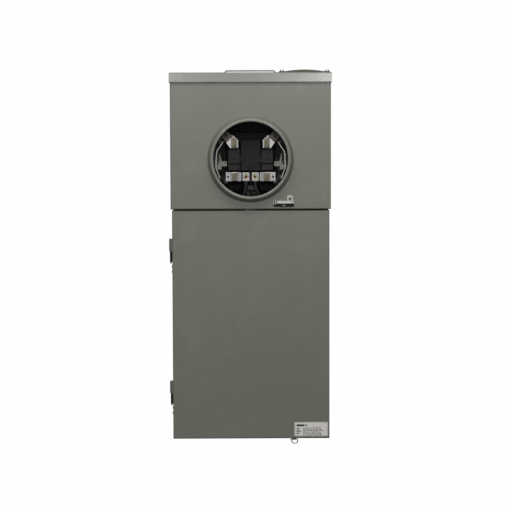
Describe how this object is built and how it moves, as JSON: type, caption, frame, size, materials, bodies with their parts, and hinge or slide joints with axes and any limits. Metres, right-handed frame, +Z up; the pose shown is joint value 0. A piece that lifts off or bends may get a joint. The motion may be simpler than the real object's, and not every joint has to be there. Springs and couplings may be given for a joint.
{
  "type": "meter socket enclosure",
  "caption": "Tall wall-mounted steel meter socket enclosure with a round meter opening, rain cap, hinged door and a main breaker section below.",
  "frame": {"origin": "centre of the four wall-mounting holes on the outer face of the back", "axes": "+Z up, +X to the right seen from the front, +Y towards the wall; the front faces -Y"},
  "size_m": [0.3761, 0.151, 0.8699],
  "materials": {
    "enclosure_paint": "satin grey-green enamel on sheet steel",
    "zinc_plate": "bright zinc plating, slightly dulled",
    "dark_steel": "dark brown-black oxidised steel",
    "black_moulding": "black phenolic moulding, fine texture",
    "handle_moulding": "black moulded toggle",
    "aluminium": "extruded aluminium, light die lines",
    "tin_plated_copper": "tin-plated copper with a warm tone",
    "brass": "dull yellow brass",
    "label_foil": null,
    "cable_jacket": "black cable insulation"
  },
  "bodies": {
    "box": {"bare_conductors": "aluminium", "bottom_wall": "enclosure_paint", "breaker_case": "black_moulding", "breaker_line_lugs": "aluminium", "breaker_load_straps": "tin_plated_copper", "breaker_lug_screws": "zinc_plate", "bus_bar_left": "tin_plated_copper", "bus_bar_right": "tin_plated_copper", "dead_front": "enclosure_paint", "dead_front_screws": "zinc_plate", "enclosure_wrapper": "enclosure_paint", "ground_bar": "aluminium", "hanger_bracket": "enclosure_paint", "hinge_pin_brackets": "dark_steel", "hinge_rivets": "zinc_plate", "hub_closing_plate": "dark_steel", "hub_pad": "enclosure_paint", "hub_screws": "zinc_plate", "insulating_block": "black_moulding", "interior_base": "black_moulding", "interior_pan": "enclosure_paint", "jaw_cover_left": "black_moulding", "jaw_cover_right": "black_moulding", "line_jaw_left": "tin_plated_copper", "line_jaw_right": "tin_plated_copper", "line_terminal_left": "aluminium", "line_terminal_right": "aluminium", "load_cable_left": "cable_jacket", "load_cable_right": "cable_jacket", "load_jaw_left": "tin_plated_copper", "load_jaw_right": "tin_plated_copper", "load_terminal_left": "aluminium", "load_terminal_right": "aluminium", "meter_support_left": "enclosure_paint", "meter_support_right": "enclosure_paint", "middle_rail": "enclosure_paint", "neutral_bar_left": "aluminium", "neutral_bar_right": "aluminium", "neutral_lug": "aluminium", "neutral_standoffs": "black_moulding", "neutral_strap": "aluminium", "rain_cap": "enclosure_paint", "seal_staple": "zinc_plate", "section_barrier": "enclosure_paint", "socket_bracket": "enclosure_paint", "socket_screws": "zinc_plate", "support_bands": "zinc_plate", "terminal_screws": "brass", "top_wall": "enclosure_paint", "twist_outs": "enclosure_paint", "wire_screws": "zinc_plate"},
    "door": {"door_panel": "enclosure_paint", "door_knuckles": "enclosure_paint", "rating_label": "label_foil", "bail_knuckle": "enclosure_paint"},
    "padlock_bail": {"latch_bail": "zinc_plate"},
    "cover": {"meter_cover": "enclosure_paint", "hasp_bracket": "zinc_plate"},
    "hasp": {"seal_hasp": "zinc_plate"},
    "breaker_toggle": {"breaker_handle": "handle_moulding"}
  },
  "joints": [
    {"name": "door_hinge", "type": "hinge", "parent": "box", "child": "door", "pos_m": [-0.1854, -0.104, -0.154], "axis": [0, 0, -1], "range_deg": [0, 120]},
    {"name": "bail_swing", "type": "hinge", "parent": "door", "child": "padlock_bail", "pos_m": [0.0993, -0.1185, -0.4183], "axis": [1, 0, 0], "range_deg": [-70, 70]},
    {"name": "cover_lift", "type": "hinge", "parent": "box", "child": "cover", "pos_m": [0, -0.131, 0.406], "axis": [-1, 0, 0], "range_deg": [0, 60]},
    {"name": "hasp_swing", "type": "hinge", "parent": "cover", "child": "hasp", "pos_m": [0.057, -0.135, 0.134], "axis": [0, 0, -1], "range_deg": [0, 110]},
    {"name": "toggle_throw", "type": "hinge", "parent": "box", "child": "breaker_toggle", "pos_m": [0, -0.093, -0.011], "axis": [1, 0, 0], "range_deg": [0, 48]}
  ]
}
